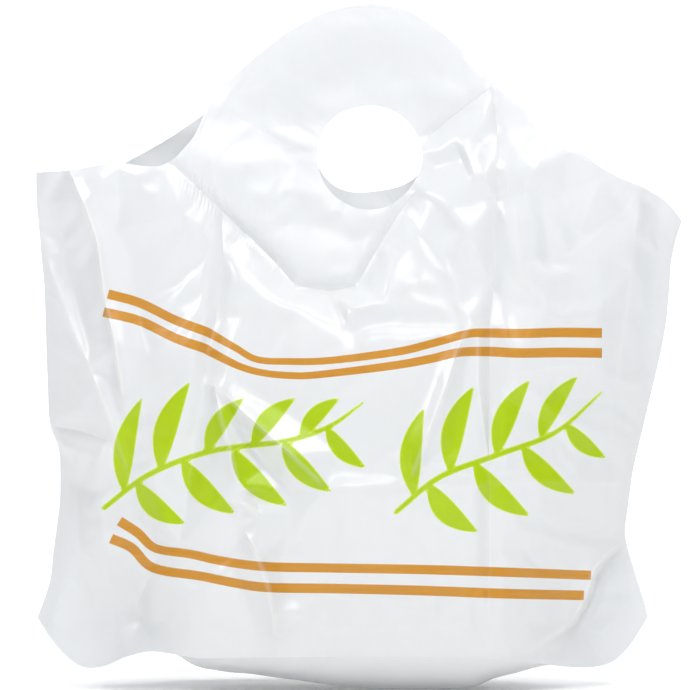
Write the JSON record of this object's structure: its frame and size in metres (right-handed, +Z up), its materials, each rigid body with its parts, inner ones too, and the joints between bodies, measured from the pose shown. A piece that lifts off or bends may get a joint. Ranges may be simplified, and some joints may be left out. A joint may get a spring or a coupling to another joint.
{
  "type": "plastic carrier bag",
  "caption": "Thin white film carrier bag with a wave top, a punched hand hole and an opened bottom gusset, standing open and empty.",
  "frame": {"origin": "on the ground, at the middle of the outer box of the bag", "axes": "+Z up through the hand hole; -Y is the way the front panel faces; +X runs along the width, towards the side with the lower corner of the mouth"},
  "size_m": [0.5006, 0.1544, 0.5259],
  "materials": {
    "white_film": "satin, slightly see-through polyethylene film"
  },
  "bodies": {
    "root": {"carrier_bag_film": "white_film"}
  },
  "joints": []
}
